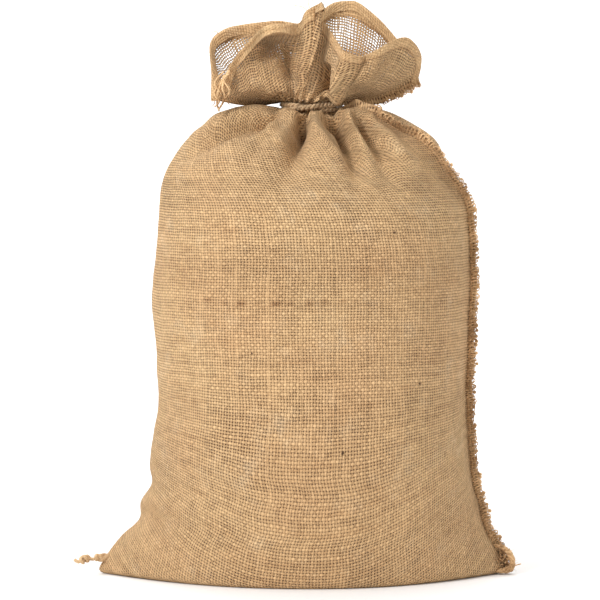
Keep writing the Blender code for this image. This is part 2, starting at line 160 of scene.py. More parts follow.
# side, path in the front view (x, height), width at the top, width at the end, height
FOLDS = (
    ("front", ((0.004, 0.404), (0.010, 0.384), (0.022, 0.335)), 0.008, 0.020, 0.012),
    ("front", ((-0.004, 0.407), (-0.009, 0.391), (-0.020, 0.358)), 0.0055, 0.010, -0.031),
    ("front", ((-0.022, 0.402), (-0.050, 0.376), (-0.078, 0.330)), 0.013, 0.032, 0.008),
    ("front", ((-0.042, 0.400), (-0.062, 0.390)), 0.0045, 0.005, -0.013),
    ("front", ((-0.030, 0.410), (-0.059, 0.403), (-0.084, 0.391), (-0.112, 0.370)), 0.0055, 0.007, -0.020),
    ("front", ((-0.034, 0.414), (-0.062, 0.411), (-0.086, 0.401), (-0.108, 0.386)), 0.006, 0.007, 0.004),
    ("front", ((-0.020, 0.403), (-0.040, 0.386), (-0.062, 0.356)), 0.004, 0.006, -0.007),
    ("front", ((0.012, 0.404), (0.018, 0.392), (0.024, 0.376)), 0.003, 0.005, -0.006),
    ("front", ((0.020, 0.407), (0.029, 0.398), (0.035, 0.383), (0.042, 0.354)), 0.0055, 0.008, -0.034),
    ("front", ((0.034, 0.405), (0.046, 0.390), (0.060, 0.358)), 0.006, 0.010, 0.012),
    ("front", ((0.044, 0.404), (0.056, 0.389), (0.070, 0.362)), 0.0055, 0.009, -0.025),
    ("front", ((0.044, 0.408), (0.062, 0.398), (0.078, 0.380), (0.090, 0.350)), 0.006, 0.011, 0.009),
    ("front", ((0.060, 0.404), (0.078, 0.392), (0.092, 0.372)), 0.004, 0.006, -0.005),
    ("back", ((0.006, 0.404), (0.012, 0.360)), 0.006, 0.014, -0.018),
    ("back", ((-0.030, 0.404), (-0.062, 0.366)), 0.006, 0.012, -0.014),
    ("back", ((0.036, 0.402), (0.066, 0.362)), 0.006, 0.012, -0.013),
    ("back", ((-0.012, 0.404), (-0.024, 0.350)), 0.008, 0.018, 0.009),
    ("back", ((0.022, 0.404), (0.040, 0.350)), 0.008, 0.018, 0.009),
    ("front", ((-0.036, 0.468), (-0.018, 0.467), (-0.012, 0.446)), 0.010, 0.008, -0.030),
    ("front", ((-0.018, 0.488), (-0.046, 0.478), (-0.066, 0.458), (-0.082, 0.432)), 0.0055, 0.005, 0.008),
    ("front", ((-0.064, 0.432), (-0.042, 0.440), (-0.024, 0.433)), 0.010, 0.010, 0.009),
    ("front", ((-0.028, 0.424), (-0.016, 0.425)), 0.005, 0.005, -0.010),
    ("front", ((-0.006, 0.424), (-0.003, 0.458), (0.006, 0.504)), 0.006, 0.008, 0.016),
    ("front", ((0.014, 0.426), (0.012, 0.440), (0.013, 0.450)), 0.0050, 0.004, -0.024),
    ("front", ((0.022, 0.426), (0.028, 0.446), (0.034, 0.462)), 0.007, 0.009, 0.010),
    ("front", ((0.049, 0.456), (0.041, 0.444), (0.038, 0.434)), 0.007, 0.007, -0.010),
    ("front", ((0.060, 0.436), (0.078, 0.446)), 0.008, 0.010, 0.006),
    ("back", ((-0.040, 0.426), (-0.052, 0.470)), 0.007, 0.010, -0.008),
    ("back", ((-0.004, 0.424), (-0.006, 0.480)), 0.007, 0.010, 0.008),
    ("back", ((0.026, 0.426), (0.034, 0.490)), 0.007, 0.010, -0.007),
    ("back", ((0.050, 0.428), (0.066, 0.466)), 0.007, 0.010, 0.006),
)

# Thin places of the mouth's cloth, where light comes through: side (back +1, front -1), x, height, size, strength
SHEER = (
    (1, 0.034, 0.484, 0.012, 1.20),
    (1, 0.059, 0.474, 0.009, 0.90),
    (1, -0.068, 0.461, 0.012, 1.10),
    (1, -0.076, 0.446, 0.009, 0.50),
    (1, -0.020, 0.474, 0.012, 0.40),
    (-1, -0.024, 0.456, 0.013, 0.45),
    (-1, 0.062, 0.452, 0.014, 0.40),
    (-1, -0.068, 0.440, 0.010, 0.20),
)

# Small creases of the filled body, seen only as soft shading
CREASES = (
    ("front", ((-0.150, 0.062), (-0.128, 0.052), (-0.104, 0.058)), 0.005, 0.008, -0.0022),
    ("front", ((-0.160, 0.030), (-0.120, 0.044), (-0.080, 0.070)), 0.007, 0.014, 0.0020),
    ("front", ((-0.142, 0.092), (-0.110, 0.100), (-0.070, 0.128)), 0.006, 0.014, -0.0018),
    ("front", ((0.150, 0.034), (0.118, 0.052), (0.084, 0.090)), 0.006, 0.014, -0.0020),
    ("front", ((0.140, 0.084), (0.116, 0.096), (0.080, 0.140)), 0.006, 0.014, 0.0018),
    ("front", ((-0.100, 0.241), (-0.030, 0.238), (0.050, 0.240)), 0.005, 0.005, -0.0005),
    ("front", ((-0.126, 0.296), (-0.060, 0.290), (0.010, 0.300)), 0.010, 0.014, 0.0009),
    ("front", ((0.126, 0.270), (0.070, 0.290), (0.030, 0.320)), 0.008, 0.014, 0.0010),
    ("front", ((0.050, 0.060), (0.000, 0.092), (-0.040, 0.150)), 0.010, 0.018, 0.0012),
    ("front", ((-0.128, 0.190), (-0.090, 0.176), (-0.050, 0.182)), 0.007, 0.012, -0.0009),
    ("back", ((-0.130, 0.060), (-0.060, 0.090)), 0.007, 0.014, -0.0024),
    ("back", ((0.130, 0.056), (0.070, 0.100)), 0.007, 0.014, -0.0024),
    ("back", ((-0.090, 0.230), (0.080, 0.240)), 0.008, 0.008, -0.0006),
)

# ---------------------------------------------------------------- the cloth's surface


def smooth(rows, at):
    """The rows of a table read between one another as one smooth curve, at fractional row numbers."""
    table = np.array(rows, dtype=float)
    low = np.clip(np.floor(at).astype(int), 0, len(table) - 2)
    part = (at - low)[:, None]
    before = table[np.maximum(low - 1, 0)]
    here = table[low]
    after = table[low + 1]
    beyond = table[np.minimum(low + 2, len(table) - 1)]
    pull = 0.5 * (after - before)
    push = 0.5 * (beyond - here)
    return (
        (2 * part**3 - 3 * part**2 + 1) * here
        + (part**3 - 2 * part**2 + part) * pull
        + (3 * part**2 - 2 * part**3) * after
        + (part**3 - part**2) * push
    )


def ramp(value, low, high):
    """0 under low, 1 over high, and an even turn between them."""
    part = np.clip((value - low) / (high - low), 0, 1)
    return part * part * (3 - 2 * part)


def evenly(curve, count):
    """The curve's points moved so that count equal steps of its length part them."""
    steps = np.linalg.norm(np.diff(curve[:, :3], axis=0), axis=1)
    along = np.concatenate(([0.0], np.cumsum(steps)))
    places = np.linspace(0.0, along[-1], count + 1)
    return np.stack([np.interp(places, along, curve[:, i]) for i in range(curve.shape[1])], axis=1)


def section(height, left, right, front, back, corner, turn):
    """One row of the body, from its seam round the back to the folded edge and along the front."""
    halves = []
    for start in (0.0, math.pi):
        angle = np.linspace(start, start + math.pi, 721) + math.radians(turn)
        across, deep = np.cos(angle), np.sin(angle)
        x = np.where(across > 0, right, left) * np.sign(across) * np.abs(across) ** (1 - SQUARENESS)
        y = np.where(deep > 0, back, front) * np.sign(deep) * np.abs(deep) ** (1 - SQUARENESS + corner)
        half = evenly(np.stack([x, y, np.full_like(x, height)], axis=1), COLUMNS // 2)
        halves.append(half[:-1])
    row = np.concatenate(halves)
    step = np.linalg.norm(row[1] - row[0])
    number = np.arange(COLUMNS)
    from_seam = np.minimum(number, COLUMNS - number) * step
    pull = SEAM_PULL * np.exp(-from_seam / 0.008) * (1 - min(corner / 0.6, 1)) * ramp(right, 0.04, 0.10)
    row[:, :2] += pull[:, None] * unit(row[0, :2])
    return row


def body_rows():
    fine = smooth(BODY, np.linspace(0, len(BODY) - 1, 1201))
    profile = evenly(np.column_stack([fine[:, 1], fine[:, 3], fine[:, 0], fine]), BODY_ROWS)
    rows = [section(*row) for row in profile[:, 3:]]
    ease = np.linspace(0, 1, len(rows)) ** 6
    return [row + np.array([TIE_X * part, 0, 0]) for row, part in zip(rows, ease)]


def neck_row(rise, radius):
    turn = math.radians(BODY[-1][-1] * (1 - max(rise, 0) / 0.012))
    angle = np.linspace(0, 2 * math.pi, COLUMNS, endpoint=False) + turn
    height = np.full(COLUMNS, TIE_HEIGHT + rise)
    return np.stack([TIE_X + radius * np.cos(angle), radius * np.sin(angle), height], axis=1)


def rim():
    """The mouth's edge and the belly of the cloth below it, one place for each column."""
    halves = []
    for rows in (BACK_RIM, FRONT_RIM):
        fine = smooth(rows, np.linspace(0, len(rows) - 1, 1201))
        angle = np.radians(fine[:, 0])
        x = TIE_X + fine[:, 1] * np.cos(angle)
        y = fine[:, 1] * np.sin(angle)
        edge = np.column_stack([x, y, TIE_HEIGHT + fine[:, 2], fine[:, 3]])
        halves.append(evenly(edge, COLUMNS // 2)[:-1])
    edge = np.concatenate(halves)
    return edge[:, :3], edge[:, 3:]


def ruffle_rows():
    """The cloth over the tie: each column runs from the neck out and up to the mouth's edge."""
    foot = neck_row(0.0070, 0.0260)
    edge, belly = rim()
    out = (edge - foot) * np.array([1, 1, 0])
    up = (edge - foot) * np.array([0, 0, 1])
    first = foot + out * (0.33 + 0.35 * belly) + up * 0.33 * (1 - belly)
    first[:, 2] -= 0.015 * (1 - belly[:, 0]) * ramp(np.abs(edge[:, 0]), 0.035, 0.075)
    second = edge - out * 0.33 * (1 - belly) - up * (0.33 + 0.2 * belly)
    rows = []
    for part in np.linspace(0, 1, RUFFLE_ROWS):
        rest = 1 - part
        rows.append(rest**3 * foot + 3 * rest**2 * part * first + 3 * rest * part**2 * second + part**3 * edge)
    return rows


def normals(grid):
    """Outward directions of a grid of rows, closed round the sack."""
    around = np.roll(grid, -1, axis=1) - np.roll(grid, 1, axis=1)
    up = np.gradient(grid, axis=0)
    direction = np.cross(around, up)
    return direction / np.maximum(np.linalg.norm(direction, axis=2, keepdims=True), 1e-12)


def unit(rows):
    return rows / np.maximum(np.linalg.norm(rows, axis=-1, keepdims=True), 1e-9)


def fold_lift(grid, folds):
    """How far each point of the grid is pushed out by the folds."""
    lift = np.zeros(grid.shape[:2])
    view = grid[:, :, [0, 2]]
    for side, path, wide_top, wide_end, height in folds:
        facing = grid[:, :, 1] * (-1 if side == "front" else 1)
        seen = np.clip(facing / 0.02, 0, 1)
        nearest = np.full(lift.shape, np.inf)
        share = np.zeros(lift.shape)
        for number in range(len(path) - 1):
            start, end = np.array(path[number]), np.array(path[number + 1])
            run = end - start
            part = np.clip(((view - start) @ run) / (run @ run), 0, 1)
            away = np.linalg.norm(view - start - part[:, :, None] * run, axis=2)
            closer = away < nearest
            nearest = np.where(closer, away, nearest)
            share = np.where(closer, (number + part) / (len(path) - 1), share)
        width = wide_top + (wide_end - wide_top) * share
        fade = 0.85 if path[-1][1] < TIE_HEIGHT else 0.25
        lift += height * (1 - fade * share**1.5) * seen * np.exp(-((nearest / width) ** 2))
    from_tie = np.abs(grid[:, :, 2] - TIE_HEIGHT) + np.maximum(np.hypot(grid[:, :, 0], grid[:, :, 1]) - 0.024, 0)
    return lift * np.clip((from_tie - 0.006) / 0.02, 0, 1)


def pleat_lift(grid, from_tie):
    """The gathers: uneven ripples that are deepest at the tie."""
    place = np.arange(COLUMNS) / COLUMNS
    swing = place + 0.006 * np.sin(2 * math.pi * 3 * place + 1.0) + 0.003 * np.sin(2 * math.pi * 8 * place)
    uneven = 0.75 + 0.25 * np.sin(2 * math.pi * 5 * place + 0.6)
    wave = np.cos(2 * math.pi * PLEATS * swing) * uneven
    fade = np.exp(-((from_tie / PLEAT_REACH) ** 2)) * (0.55 + 0.45 * ramp(from_tie, 0.005, 0.012))
    return PLEAT_DEPTH * wave[None, :] * fade


def noise_lift(grid, size, height, seed):
    """Soft lumps and wrinkles of a given size, the same each run."""
    shift = Vector((seed, -2.7 * seed, 1.3 * seed))
    lift = [
        [noise.noise(Vector(point) / size + shift) for point in row]
        for row in grid[:, ::2]
    ]
    return height * np.repeat(np.array(lift), 2, axis=1)


def along_columns(grid):
    """The cloth's length from the first row to each point, up its column."""
    steps = np.linalg.norm(np.diff(grid, axis=0), axis=2)
    return np.concatenate([np.zeros((1, grid.shape[1])), np.cumsum(steps, axis=0)])


def make_surface():
    """The outer surface from the floor to the mouth, and what the cloth's flat sizes are on it."""
    lower = body_rows()
    tie_row = len(lower) + len(NECK) // 2
    grid = np.array(lower + [neck_row(*row) for row in NECK] + ruffle_rows())
    body = grid[: len(lower)]
    around = np.hypot(body[:, :, 0] - TIE_X, body[:, :, 1])
    sideways = ((body[:, :, 0] - TIE_X) / around) ** 2
    collar = ramp(body[:, :, 2], 0.398, 0.409) * ramp(around, 0.0245, 0.032)
    body[:, :, 2] += SADDLE * collar * (sideways - 0.35)
    plain_length = along_columns(grid)
    from_tie = np.abs(plain_length - plain_length[tie_row])
    base = normals(grid)
    grid = grid + base * fold_lift(grid, FOLDS)[:, :, None]
    fine = pleat_lift(grid, from_tie) + fold_lift(grid, CREASES)
    calm = ramp(grid[:, :, 2], 0.004, 0.03) * ramp(from_tie, 0.004, 0.03)
    fine += calm * (noise_lift(grid, 0.045, 0.0016, 3.0) + noise_lift(grid, 0.016, 0.0007, 11.0))
    grid = grid + normals(grid) * fine[:, :, None]
    grid[:, :, 2] = np.maximum(grid[:, :, 2], 0.0)

    high = along_columns(grid)
    offset = np.abs(grid[0, :, 1])
    from_seam = offset + high
    level = from_seam.mean(axis=1, keepdims=True)
    rise = grid[:, :, 2]
    flat_high = from_seam + (level - from_seam) * ramp(rise, 0.0, 0.20)
    tie_high = level[tie_row, 0]
    signed = high - high[tie_row]
    near_tie = 1 - ramp(np.abs(signed), 0.06, 0.17)
    flat_high = flat_high + (tie_high + signed - flat_high) * near_tie
    flat_high[tie_row:] = tie_high + signed[tie_row:]
    return grid, flat_high, tie_row


# ---------------------------------------------------------------- mesh helpers


def new_mesh(name, points, faces, uvs=None, look=None, smooth_shading=True):
    """An object from points and faces, with one UV for each corner of each face if they are given."""
    data = bpy.data.meshes.new(name)
    data.from_pydata([tuple(point) for point in points], [], faces)
    if uvs is not None:
        layer = data.uv_layers.new(name="cloth")
        layer.data.foreach_set("uv", np.asarray(uvs, dtype=np.float32).ravel())
    data.polygons.foreach_set("use_smooth", [smooth_shading] * len(data.polygons))
    if look is not None:
        data.materials.append(look)
    data.update()
    made = bpy.data.objects.new(name, data)
    bpy.context.scene.collection.objects.link(made)
    return made


def tube_mesh(paths, sides=6):
    """Points and faces of round tubes. Each path is (points, radii), and its ends are closed."""
    points, faces = [], []
    for path, radii in paths:
        path = np.asarray(path, dtype=float)
        first = len(points)
        tangent = np.gradient(path, axis=0)
        tangent /= np.maximum(np.linalg.norm(tangent, axis=1, keepdims=True), 1e-9)
        axis = np.array([0.0, 0.0, 1.0]) if abs(tangent[0][2]) < 0.9 else np.array([1.0, 0.0, 0.0])
        side = np.cross(tangent[0], axis)
        side /= np.linalg.norm(side)
        for place, direction, radius in zip(path, tangent, radii):
            side = side - direction * (side @ direction)
            side /= max(np.linalg.norm(side), 1e-9)
            up = np.cross(direction, side)
            for k in range(sides):
                turn = 2 * math.pi * k / sides
                points.append(place + radius * (math.cos(turn) * side + math.sin(turn) * up))
        for i in range(len(path) - 1):
            for k in range(sides):
                a = first + i * sides + k
                b = first + i * sides + (k + 1) % sides
                faces.append((a, b, b + sides, a + sides))
        faces.append(tuple(first + k for k in reversed(range(sides))))
        faces.append(tuple(first + (len(path) - 1) * sides + k for k in range(sides)))
    return points, faces


def finish_piece(made, slot_name, *nodes):
    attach(made, "root")
    if nodes:
        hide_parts(*nodes)
    return made


# ---------------------------------------------------------------- materials


class Field:
    """A number that varies over a surface: arithmetic on it adds Math nodes to its material."""

    def __init__(self, tree, socket):
        self.tree = tree
        self.socket = socket

    def math(self, operation, *others, clamp=False):
        node = self.tree.nodes.new("ShaderNodeMath")
        node.operation = operation
        node.use_clamp = clamp
        for place, value in zip(node.inputs, (self, *others)):
            if isinstance(value, Field):
                self.tree.links.new(value.socket, place)
            else:
                place.default_value = value
        return Field(self.tree, node.outputs[0])

    def __add__(self, other):
        return self.math("ADD", other)

    def __sub__(self, other):
        return self.math("SUBTRACT", other)

    def __mul__(self, other):
        return self.math("MULTIPLY", other)

    def __truediv__(self, other):
        return self.math("DIVIDE", other)

    __radd__ = __add__
    __rmul__ = __mul__

    def between(self, low, high):
        """0 under low and 1 over high, turning smoothly."""
        node = self.tree.nodes.new("ShaderNodeMapRange")
        node.interpolation_type = "SMOOTHSTEP"
        self.tree.links.new(self.socket, node.inputs["Value"])
        node.inputs["From Min"].default_value = low
        node.inputs["From Max"].default_value = high
        return Field(self.tree, node.outputs["Result"])


def vector(tree, x, y, z=0.0):
    node = tree.nodes.new("ShaderNodeCombineXYZ")
    for place, value in zip(node.inputs, (x, y, z)):
        if isinstance(value, Field):
            tree.links.new(value.socket, place)
        else:
            place.default_value = value
    return node.outputs[0]


def noise_field(tree, place, scale, detail=2.0, roughness=0.5):
    node = tree.nodes.new("ShaderNodeTexNoise")
    node.inputs["Scale"].default_value = scale
    node.inputs["Detail"].default_value = detail
    node.inputs["Roughness"].default_value = roughness
    tree.links.new(place, node.inputs["Vector"])
    return Field(tree, node.outputs["Fac"])


def chance_field(tree, place):
    node = tree.nodes.new("ShaderNodeTexWhiteNoise")
    tree.links.new(place, node.inputs["Vector"])
    return Field(tree, node.outputs["Value"])


def blend_colour(tree, part, first, second, mode="MIX"):
    node = tree.nodes.new("ShaderNodeMix")
    node.data_type = "RGBA"
    node.blend_type = mode
    for place, value in ((0, part), (6, first), (7, second)):
        socket = node.inputs[place]
        if isinstance(value, Field):
            tree.links.new(value.socket, socket)
        elif isinstance(value, bpy.types.NodeSocket):
            tree.links.new(value, socket)
        elif isinstance(value, tuple):
            socket.default_value = (*value, 1)
        else:
            socket.default_value = value
    return node.outputs[2]


def new_material(name, roughness):
    made = bpy.data.materials.new(name)
    made.use_nodes = True
    shader = made.node_tree.nodes["Principled BSDF"]
    shader.inputs["Roughness"].default_value = roughness
    shader.inputs["Specular IOR Level"].default_value = 0.18
    return made, made.node_tree, shader


def add_bump(tree, shader, height, strength, distance):
    node = tree.nodes.new("ShaderNodeBump")
    node.inputs["Strength"].default_value = strength
    node.inputs["Distance"].default_value = distance
    tree.links.new(height.socket, node.inputs["Height"])
    tree.links.new(node.outputs[0], shader.inputs["Normal"])


def burlap_material():
    """Plain weave on the UV map: round yarns that pass over and under, with gaps between them."""
    made, tree, shader = new_material("burlap_weave", 0.92)
    shader.inputs["Sheen Weight"].default_value = 0.25
    shader.inputs["Sheen Roughness"].default_value = 0.6
    shader.inputs["Sheen Tint"].default_value = (1.0, 0.79, 0.54, 1)
    uv = tree.nodes.new("ShaderNodeUVMap")
    uv.uv_map = "cloth"
    split = tree.nodes.new("ShaderNodeSeparateXYZ")
    tree.links.new(uv.outputs[0], split.inputs[0])
    u, v = Field(tree, split.outputs[0]), Field(tree, split.outputs[1])
    place = uv.outputs[0]
    sheer = tree.nodes.new("ShaderNodeAttribute")
    sheer.attribute_name = "sheer"
    sheer = Field(tree, sheer.outputs["Fac"])
    dense = tree.nodes.new("ShaderNodeAttribute")
    dense.attribute_name = "dense"
    dense = Field(tree, dense.outputs["Fac"])

    # Painted shade and stitch marks, filled in by build_cloth: painted shade along the front crease, in a band above
    # it, towards the bottom and under the hem's edge, plus dashed stitch lines beside the side seam
    painted_shade_and_stitches = tree.nodes.new("ShaderNodeAttribute")
    painted_shade_and_stitches.attribute_name = "painted_shade_and_stitches"
    painted_shade_and_stitches = Field(tree, painted_shade_and_stitches.outputs["Fac"])

    sway = noise_field(tree, place, 38.0, 2.0) - 0.5
    drift = noise_field(tree, vector(tree, v, u, 0.37), 31.0, 2.0) - 0.5
    across = u / WARP_PITCH + sway * 1.0
    along = v / WEFT_PITCH + drift * 1.0
    warp, weft = across.math("FLOOR"), along.math("FLOOR")
    off_warp = across - warp - 0.5
    off_weft = along - weft - 0.5
    warp_slub = noise_field(tree, vector(tree, warp * 3.7, v * 85.0, 0.0), 1.0, 3.0, 0.7).between(0.22, 0.78)
    weft_slub = noise_field(tree, vector(tree, u * 75.0, weft * 3.7, 5.0), 1.0, 3.0, 0.7).between(0.22, 0.78)
    warp_tone = chance_field(tree, vector(tree, warp, 1.5))
    weft_tone = chance_field(tree, vector(tree, 7.5, weft))
    open_spots = noise_field(tree, place, 16.0, 4.0, 0.65).between(0.46, 0.72)
    slack = open_spots * 0.065 + sheer * 0.15 - dense * 0.16
    warp_wide = warp_slub * 0.16 + warp_tone * 0.06 + 0.275 - slack
    weft_wide = weft_slub * 0.20 + weft_tone * 0.08 + 0.300 - slack - painted_shade_and_stitches.between(0.3, 0.8) * 0.13
    over = ((warp + weft) * math.pi).math("COSINE")
    warp_round = (1.0 + (off_warp / warp_wide).math("POWER", 2.0) * -1.0).math("MAXIMUM", 0.0).math("SQRT")
    weft_round = (1.0 + (off_weft / weft_wide).math("POWER", 2.0) * -1.0).math("MAXIMUM", 0.0).math("SQRT")
    warp_high = warp_round + over * (off_weft * math.pi).math("COSINE") * 0.42 - 1.0
    weft_high = weft_round - over * (off_warp * math.pi).math("COSINE") * 0.42 - 1.0
    warp_there = warp_round.between(0.0, 0.35)
    weft_there = weft_round.between(0.0, 0.35)
    warp_high = (warp_high + 2.0) * warp_there - 2.0
    weft_high = (weft_high + 2.0) * weft_there - 2.0
    warp_on_top = (warp_high - weft_high).between(-0.12, 0.12)
    height = warp_high.math("MAXIMUM", weft_high)
    covered = warp_there.math("MAXIMUM", weft_there)

    warp_shade = warp_tone * 0.22 + warp_slub * 0.78
    weft_shade = weft_tone * 0.34 + weft_slub * 0.66
    warp_colour = blend_colour(tree, warp_shade, (0.44, 0.248, 0.100), (0.79, 0.516, 0.252))
    weft_colour = blend_colour(tree, weft_shade, (0.465, 0.267, 0.110), (0.85, 0.566, 0.281))
    yarn = blend_colour(tree, warp_on_top, weft_colour, warp_colour)
    fibre = noise_field(tree, vector(tree, u * 2.2, v * 2.0, 2.0), 1500.0, 2.0, 0.7)
    yarn = blend_colour(tree, fibre.between(0.30, 0.75) * 0.5, yarn, (0.95, 0.70, 0.43))
    # Painted shade: each yarn darkens down its sides and where it dips under its neighbours, as shade between the
    # yarns
    crown = height.between(-1.10, 0.40)
    shade = blend_colour(tree, crown, (0.33, 0.215, 0.132), (1.0, 1.0, 1.0))
    yarn = blend_colour(tree, 0.9, yarn, shade, "MULTIPLY")
    # Painted shade: the gaps between yarns are painted dark brown, as the shaded hollow behind the cloth; in the hem,
    # a lighter brown for its shaded second layer
    painted_gap_shade = blend_colour(tree, dense, (0.085, 0.038, 0.014), (0.28, 0.155, 0.07))
    cloth = blend_colour(tree, covered, painted_gap_shade, yarn)
    patches = noise_field(tree, place, 9.0, 3.0, 0.55).between(0.32, 0.72)
    cloth = blend_colour(tree, patches * 0.30, cloth, (0.93, 0.78, 0.76), "MULTIPLY")
    streak = noise_field(tree, vector(tree, u * 22.0, v * 130.0, 8.0), 1.0, 3.0, 0.6).between(0.48, 0.72)
    cloth = blend_colour(tree, streak * 0.34, cloth, (0.74, 0.64, 0.56), "MULTIPLY")
    bright = noise_field(tree, vector(tree, u * 30.0, v * 26.0, 3.0), 1.0, 4.0, 0.7).between(0.50, 0.80)
    cloth = blend_colour(tree, bright * 0.16, cloth, (1.0, 0.86, 0.62), "SCREEN")
    # Painted shade and stitch marks: this mask multiplies the cloth darker
    cloth = blend_colour(tree, painted_shade_and_stitches, cloth, (0.48, 0.36, 0.28), "MULTIPLY")
    tree.links.new(cloth, shader.inputs["Base Color"])
    hole = (1.0 + covered * -1.0) * sheer.between(0.2, 0.5)
    tree.links.new((1.0 + hole * -1.0).socket, shader.inputs["Alpha"])
    add_bump(tree, shader, height, 1.0, 0.0012)
    return made


def yarn_material(name, dark, light, scale, sheen=0.2):
    """Loose jute: bright and dark fibres along the yarn, with soft fuzz."""
    made, tree, shader = new_material(name, 0.9)
    shader.inputs["Sheen Weight"].default_value = sheen
    shader.inputs["Sheen Tint"].default_value = (1.0, 0.86, 0.66, 1)
    place = tree.nodes.new("ShaderNodeTexCoord").outputs["Object"]
    fibre = noise_field(tree, place, scale, 3.0, 0.7)
    broad = noise_field(tree, place, scale / 12, 2.0, 0.5)
    tone = (fibre * 0.6 + broad * 0.55).between(0.38, 0.78)
    tree.links.new(blend_colour(tree, tone, dark, light), shader.inputs["Base Color"])
    add_bump(tree, shader, fibre, 0.5, 0.0005)
    return made


# ---------------------------------------------------------------- the sack


def build_cloth(grid, flat_high, tie_row, look):
    """One sheet: base, body, neck, ruffle and hem, with the side seam's two allowances."""
    out = normals(grid)
    rows, highs = [], []
    for part in (0.0, 0.33, 0.66):
        rows.append(grid[0] * np.array([1, part, 0]))
        highs.append(flat_high[0] * part)
    rows += list(grid)
    highs += list(flat_high)
    top, top_out = grid[-1], out[-1]
    down = grid[-2] - grid[-1]
    down /= np.linalg.norm(down, axis=1, keepdims=True)
    for step in range(1, HEM_ROWS + 1):
        part = step / HEM_ROWS
        tuck = min(1.0, 3 * part)
        rows.append(top + down * HEM * max(0.0, part - 0.12) - top_out * 0.0016 * tuck + down * -0.0006 * (step == 1))
        highs.append(flat_high[-1] + HEM * part)
    rows, highs = np.array(rows), np.array(highs)
    count = len(rows)

    seam = rows[:, 0]
    seam_out = np.concatenate([out[:1, 0].repeat(3, 0), out[:, 0], out[-1:, 0].repeat(HEM_ROWS, 0)])
    side = np.cross(seam_out, np.gradient(seam, axis=0))
    side /= np.maximum(np.linalg.norm(side, axis=1, keepdims=True), 1e-9)
    narrow = 0.12 + 0.88 * ramp(np.abs(np.arange(count) - tie_row - 3.0), 3, 16)
    open_part = ramp(seam[:, 2], 0.0, 0.004)
    wobble = 1 + 0.10 * np.sin(np.arange(count) * 0.55) + 0.07 * np.sin(np.arange(count) * 1.7)
    width = FLANGE * narrow * wobble * open_part + 0.0004
    columns = []
    back, front = [], []
    for step in range(1, FLANGE_COLUMNS + 1):
        part = step / FLANGE_COLUMNS
        lean = 0.0007 + 0.0008 * np.sin(np.arange(count) * 0.21)
        away = seam_out * (width * part)[:, None]
        back.append(seam + away - side * (0.0005 * part - lean * part**2 * 0.5)[:, None])
        front.append(seam + away + side * (0.0005 * part + lean * part**2)[:, None])
    columns = back[::-1] + [rows[:, i] for i in range(COLUMNS)] + [rows[:, 0]] + front
    spread = np.stack(columns, axis=1)
    spread[:, :, 2] = np.maximum(spread[:, :, 2], 0.0)
    highs = np.concatenate(
        [highs[:, :1].repeat(FLANGE_COLUMNS, 1), highs, highs[:, :1], highs[:, :1].repeat(FLANGE_COLUMNS, 1)],
        axis=1,
    )
    wide = spread.shape[1]
    rounds = (np.arange(wide) - FLANGE_COLUMNS) * FLAT_ROUND / COLUMNS
    rounds[:FLANGE_COLUMNS] = -FLANGE * np.arange(FLANGE_COLUMNS, 0, -1) / FLANGE_COLUMNS
    rounds[-FLANGE_COLUMNS:] = FLAT_ROUND + FLANGE * np.arange(1, FLANGE_COLUMNS + 1) / FLANGE_COLUMNS

    girth = np.linalg.norm(np.diff(rows, axis=1, append=rows[:, :1]), axis=2).sum(axis=1)
    keep = np.clip(girth / FLAT_ROUND, 0.05, 1.0)
    points = spread.reshape(-1, 3)
    number = np.arange(count * wide).reshape(count, wide)
    faces, uvs = [], []
    gore = FLAT_ROUND / PLEATS
    for i in range(count - 1):
        for j in range(wide - 1):
            faces.append((number[i, j], number[i, j + 1], number[i + 1, j + 1], number[i + 1, j]))
            middle = (math.floor((rounds[j] + rounds[j + 1]) / 2 / gore) + 0.5) * gore
            for row, column in ((i, j), (i, j + 1), (i + 1, j + 1), (i + 1, j)):
                uvs.append((middle + (rounds[column] - middle) * keep[row], highs[row, column]))
    made = new_mesh("sack_cloth", points, [tuple(int(n) for n in face) for face in faces], uvs, look)

    from_neck = np.arange(count) - tie_row - 3
    sheer = np.repeat(0.26 * np.clip((from_neck - 14) / 14, 0, 1), wide)
    for side_sign, x, height, size, strength in SHEER:
        near = np.hypot(points[:, 0] - x, points[:, 2] - height) / size
        sheer += strength * np.exp(-(near**2)) * (points[:, 1] * side_sign > -0.004) * (sheer > 0.1)
    hem_start = count - HEM_ROWS - 1 - round(HEM / 0.0014)
    in_hem = np.arange(count) >= hem_start
    sheer = np.where(np.repeat(in_hem, wide), 0.0, sheer)
    slacker = 0.10 * ramp(rows[:, :, 2].mean(axis=1), 0.26, 0.36)
    dense = np.where(in_hem, 1.0, -slacker)
    add_field(made, "sheer", np.clip(sheer, 0, 1.25))
    add_field(made, "dense", np.repeat(dense, wide))
    # Painted shadow: a dark broken line across the front at z≈0.25, the shadow of the crease where the cloth makes a
    # ledge
    front = (points[:, 1] < 0) * ramp(points[:, 0], -0.105, -0.080) * (1 - ramp(points[:, 0], 0.030, 0.050))
    crease = 0.2475 + 0.45 * (points[:, 0] + 0.03) ** 2
    broken = np.clip(0.35 + np.sin(points[:, 0] * 190) * 0.4 + np.sin(points[:, 0] * 433 + 1) * 0.5, 0, 1)
    crease_shadow_line = np.exp(-(((points[:, 2] - crease) / 0.0019) ** 2)) * front * broken
    # Painted shade: a darker band just above that crease line, all round the body
    shade_band = 0.14 * ramp(points[:, 2], 0.244, 0.270) * (1 - ramp(points[:, 2], 0.280, 0.300))
